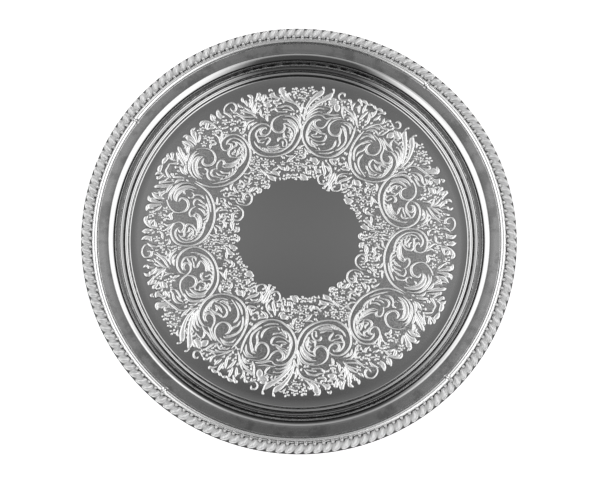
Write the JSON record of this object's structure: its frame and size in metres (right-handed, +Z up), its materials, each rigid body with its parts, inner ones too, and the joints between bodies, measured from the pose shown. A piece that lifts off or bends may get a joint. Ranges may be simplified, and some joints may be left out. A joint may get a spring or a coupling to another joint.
{
  "type": "offering plate",
  "caption": "Round silver-plated plate with a flat well, stepped side wall, level flange and a soldered cast border of leaning lobes; for collecting offerings or serving.",
  "frame": {"origin": "centre of the flat underside that the plate rests on", "axes": "+Z up out of the well; +X and +Y lie in the plane of the underside, and the solder joints of the border are near 54, 148, 233 and 319 degrees from +X towards +Y"},
  "size_m": [0.31, 0.31, 0.0172],
  "materials": {
    "silver_sheet": "polished silver plate with chased ornament",
    "cast_border": "polished silver plate over a cast border, darker in the valleys"
  },
  "bodies": {
    "root": {"pressed_plate": "silver_sheet", "border_section_1": "cast_border", "border_section_2": "cast_border", "border_section_3": "cast_border", "border_section_4": "cast_border"}
  },
  "joints": []
}
